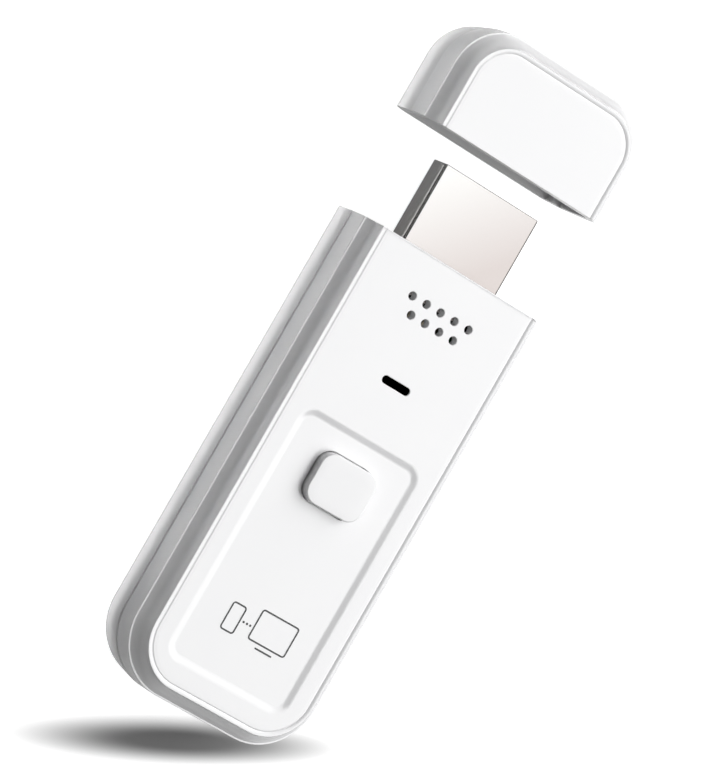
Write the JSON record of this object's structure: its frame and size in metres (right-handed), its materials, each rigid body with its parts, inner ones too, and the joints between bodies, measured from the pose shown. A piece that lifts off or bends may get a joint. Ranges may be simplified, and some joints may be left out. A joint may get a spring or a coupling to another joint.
{
  "type": "wireless display dongle",
  "caption": "Slim white stick with a display plug at one end, a power inlet at the other, a push button on its front and a pull-off plug cap.",
  "frame": {"origin": "centre of the housing's flat back face", "axes": "+Z out of the front, where the button is; +Y along the stick towards the plug and the cap; +X across it"},
  "size_m": [0.0254, 0.0828, 0.0125],
  "materials": {
    "white_plastic": "glossy white moulded plastic",
    "cap_plastic": "glossy white moulded plastic",
    "button_plastic": "satin white moulded plastic",
    "smoked_lens": "dark smoked plastic lens",
    "plug_nickel": "satin nickel plate, warm grey",
    "inlet_nickel": "nickel plate",
    "black_core": "black moulded plastic",
    "gold_contact": "gold plate",
    "circuit_board": "green solder mask",
    "radio_board": "dark blue solder mask",
    "chip_resin": "black moulding resin",
    "tin_sheet": "tinned sheet",
    "spring_steel": "spring steel sheet",
    "sink_aluminium": "bare aluminium",
    "pad_silicone": "grey-blue silicone",
    "ceramic_white": "white ceramic",
    "ceramic_tan": "tan ceramic",
    "ferrite_grey": "dark grey ferrite",
    "lamp_resin": "clear lamp resin",
    "switch_black": "black heat-proof plastic"
  },
  "bodies": {
    "housing": {"front_shell": "white_plastic", "rear_shell": "white_plastic", "light_pipe": "smoked_lens", "switch_base": "switch_black", "switch_cover": "spring_steel", "switch_dome": "spring_steel", "hdmi_shell": "plug_nickel", "hdmi_insulator": "black_core", "hdmi_contacts": "gold_contact", "usb_c_shell": "inlet_nickel", "usb_c_insulator": "black_core", "usb_c_contacts": "gold_contact", "main_board": "circuit_board", "processor_chip": "chip_resin", "memory_chip": "chip_resin", "flash_chip": "chip_resin", "thermal_pad": "pad_silicone", "heat_sink": "sink_aluminium", "wifi_board": "radio_board", "wifi_shield": "tin_sheet", "chip_antennas": "ceramic_white", "status_led": "lamp_resin", "crystals": "tin_sheet", "power_inductors": "ferrite_grey", "voltage_regulators": "chip_resin", "surge_arrays": "chip_resin", "capacitors": "ceramic_tan", "resistors": "ferrite_grey"},
    "button": {"button_key": "button_plastic", "switch_plunger": "switch_black"},
    "cap": {"cap_shell": "cap_plastic"}
  },
  "joints": [
    {"name": "cap_slide", "type": "slide", "parent": "housing", "child": "cap", "axis": [0, 1, 0], "range_m": [-0.0127, 0]},
    {"name": "button_press", "type": "slide", "parent": "housing", "child": "button", "axis": [0, 0, -1], "range_m": [0, 0.00025], "stiffness_N_per_m": 600}
  ]
}
